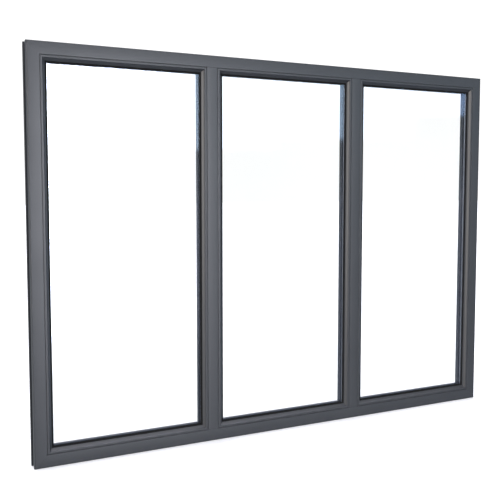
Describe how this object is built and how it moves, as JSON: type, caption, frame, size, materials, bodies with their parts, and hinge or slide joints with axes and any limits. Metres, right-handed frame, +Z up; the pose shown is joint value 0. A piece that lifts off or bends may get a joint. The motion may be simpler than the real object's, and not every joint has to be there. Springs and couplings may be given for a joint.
{
  "type": "fixed window",
  "caption": "Fixed window: mitred aluminium frame with mullions, thermal breaks, clip-on glazing beads and sealed double glazing.",
  "frame": {"origin": "bottom centre of the frame's outer box, in the middle of its depth", "axes": "+X along the width, +Y from the beaded front face (-Y side) to the back, +Z up"},
  "size_m": [1.8, 0.05, 1.3],
  "materials": {
    "frame_paint": "satin powder coat, anthracite grey",
    "bead_paint": "satin powder coat, anthracite grey",
    "thermal_break": "black glass-filled polyamide",
    "gasket": "matt black EPDM",
    "spacer": "satin grey perforated spacer bar",
    "clear_glass": "clear float glass",
    "setting_block": "moulded blue plastic",
    "bare_aluminium": "mill finish"
  },
  "bodies": {
    "root": {"left_jamb_front_shell": "frame_paint", "left_jamb_thermal_break": "thermal_break", "left_jamb_back_shell": "frame_paint", "head_front_shell": "frame_paint", "head_thermal_break": "thermal_break", "head_back_shell": "frame_paint", "right_jamb_front_shell": "frame_paint", "right_jamb_thermal_break": "thermal_break", "right_jamb_back_shell": "frame_paint", "sill_front_shell": "frame_paint", "sill_thermal_break": "thermal_break", "sill_back_shell": "frame_paint", "left_mullion_front_shell": "frame_paint", "left_mullion_thermal_break": "thermal_break", "left_mullion_back_shell": "frame_paint", "right_mullion_front_shell": "frame_paint", "right_mullion_thermal_break": "thermal_break", "right_mullion_back_shell": "frame_paint", "corner_cleat_bottom_left": "bare_aluminium", "corner_cleat_top_left": "bare_aluminium", "corner_cleat_top_right": "bare_aluminium", "corner_cleat_bottom_right": "bare_aluminium", "left_mullion_connector_bottom": "bare_aluminium", "left_mullion_connector_top": "bare_aluminium", "right_mullion_connector_bottom": "bare_aluminium", "right_mullion_connector_top": "bare_aluminium", "left_pane_bead_left": "bead_paint", "left_pane_bead_top": "bead_paint", "left_pane_bead_right": "bead_paint", "left_pane_bead_bottom": "bead_paint", "left_pane_setting_block_left": "setting_block", "left_pane_setting_block_right": "setting_block", "left_pane_front_gasket": "gasket", "left_pane_back_gasket": "gasket", "left_pane_front_glass": "clear_glass", "left_pane_back_glass": "clear_glass", "left_pane_spacer": "spacer", "middle_pane_bead_left": "bead_paint", "middle_pane_bead_top": "bead_paint", "middle_pane_bead_right": "bead_paint", "middle_pane_bead_bottom": "bead_paint", "middle_pane_setting_block_left": "setting_block", "middle_pane_setting_block_right": "setting_block", "middle_pane_front_gasket": "gasket", "middle_pane_back_gasket": "gasket", "middle_pane_front_glass": "clear_glass", "middle_pane_back_glass": "clear_glass", "middle_pane_spacer": "spacer", "right_pane_bead_left": "bead_paint", "right_pane_bead_top": "bead_paint", "right_pane_bead_right": "bead_paint", "right_pane_bead_bottom": "bead_paint", "right_pane_setting_block_left": "setting_block", "right_pane_setting_block_right": "setting_block", "right_pane_front_gasket": "gasket", "right_pane_back_gasket": "gasket", "right_pane_front_glass": "clear_glass", "right_pane_back_glass": "clear_glass", "right_pane_spacer": "spacer"}
  },
  "joints": []
}
